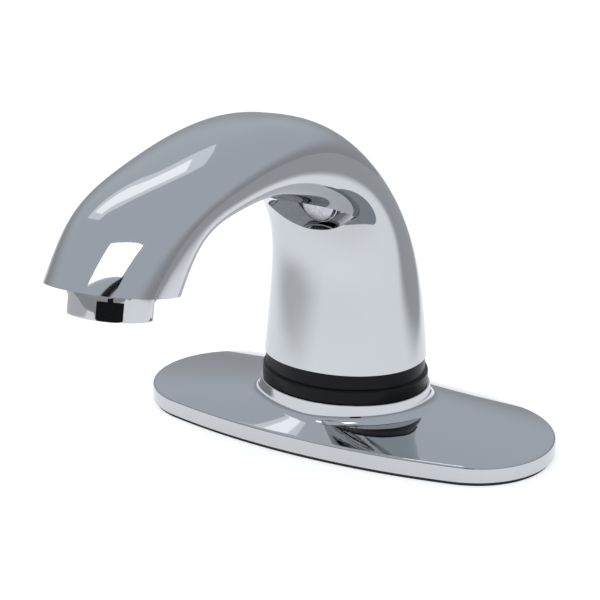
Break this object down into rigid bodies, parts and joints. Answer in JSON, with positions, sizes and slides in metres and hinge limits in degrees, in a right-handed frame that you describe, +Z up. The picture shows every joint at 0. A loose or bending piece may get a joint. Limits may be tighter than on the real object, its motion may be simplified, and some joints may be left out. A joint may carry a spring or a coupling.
{
  "type": "sensor tap",
  "caption": "Chrome gooseneck touch-sensing basin tap with a swan-neck spout on a long oval deck plate, black isolating ring, aerator and round button in the throat.",
  "frame": {"origin": "on the deck plane, under the middle of the deck plate and of the column, midway between the two fixing studs", "axes": "+Z up from the deck, -Y forwards over the basin along the spout, +X along the deck plate to the right of the picture"},
  "size_m": [0.16, 0.1869, 0.1247],
  "materials": {
    "foam_gasket": "matt black closed-cell foam",
    "polished_chrome": "bright polished chrome plate",
    "satin_button": "fine satin metal",
    "black_polymer": "black moulded polymer",
    "black_rubber": "black rubber",
    "zinc_casting": "raw die-cast zinc alloy",
    "steel": "plain stainless steel",
    "brass": "machined brass",
    "white_polymer": "natural white acetal",
    "coil_varnish": "black moulded coil",
    "green_board": "green circuit board",
    "grey_polymer": "grey moulded polymer"
  },
  "bodies": {
    "tap_body": {"deck_gasket": "foam_gasket", "deck_plate": "polished_chrome", "spout_body": "polished_chrome", "button_bezel": "polished_chrome", "aerator_housing": "polished_chrome", "base_ring": "black_polymer", "module_case": "black_polymer", "valve_bonnet": "black_polymer", "ring_foot_seal": "black_rubber", "ring_head_seal": "black_rubber", "inlet_o_ring": "black_rubber", "diaphragm": "black_rubber", "tube_seal": "black_rubber", "aerator_washer": "black_rubber", "bezel_seal": "black_rubber", "cable_grommet": "black_rubber", "base_insert": "zinc_casting", "clamp_screws": "steel", "bonnet_screws": "steel", "plunger_spring": "steel", "button_spring": "steel", "switch_bracket": "steel", "coil_nut": "steel", "contact_spring": "steel", "strainer_screen": "steel", "inlet_fitting": "brass", "button_nut": "brass", "cable_gland": "brass", "valve_body": "white_polymer", "waterway_tube": "white_polymer", "aerator_mixer": "white_polymer", "stream_straightener": "white_polymer", "solenoid_coil": "coil_varnish", "circuit_board": "green_board", "flow_regulator": "grey_polymer", "switch_body": "grey_polymer", "module_lid": "grey_polymer"},
    "button": {"button_cap": "satin_button", "button_clip": "steel"},
    "switch_plunger": {"switch_pin": "white_polymer"},
    "valve_plunger": {"plunger": "steel"}
  },
  "joints": [
    {"name": "button_press", "type": "slide", "parent": "tap_body", "child": "button", "axis": [0, 0.9848, 0.1736], "range_m": [0, 0.001], "stiffness_N_per_m": 900, "springref_m": -0.002, "deforming": ["button_spring"]},
    {"name": "switch_press", "type": "slide", "parent": "tap_body", "child": "switch_plunger", "axis": [0, 0.9848, 0.1736], "range_m": [0, 0.001]},
    {"name": "valve_lift", "type": "slide", "parent": "tap_body", "child": "valve_plunger", "axis": [0, 0, 1], "range_m": [0, 0.0015], "stiffness_N_per_m": 350, "springref_m": -0.004, "deforming": ["plunger_spring"]}
  ],
  "couplings": [
    {"joint": "switch_press", "follows": "button_press", "ratio": 1}
  ]
}
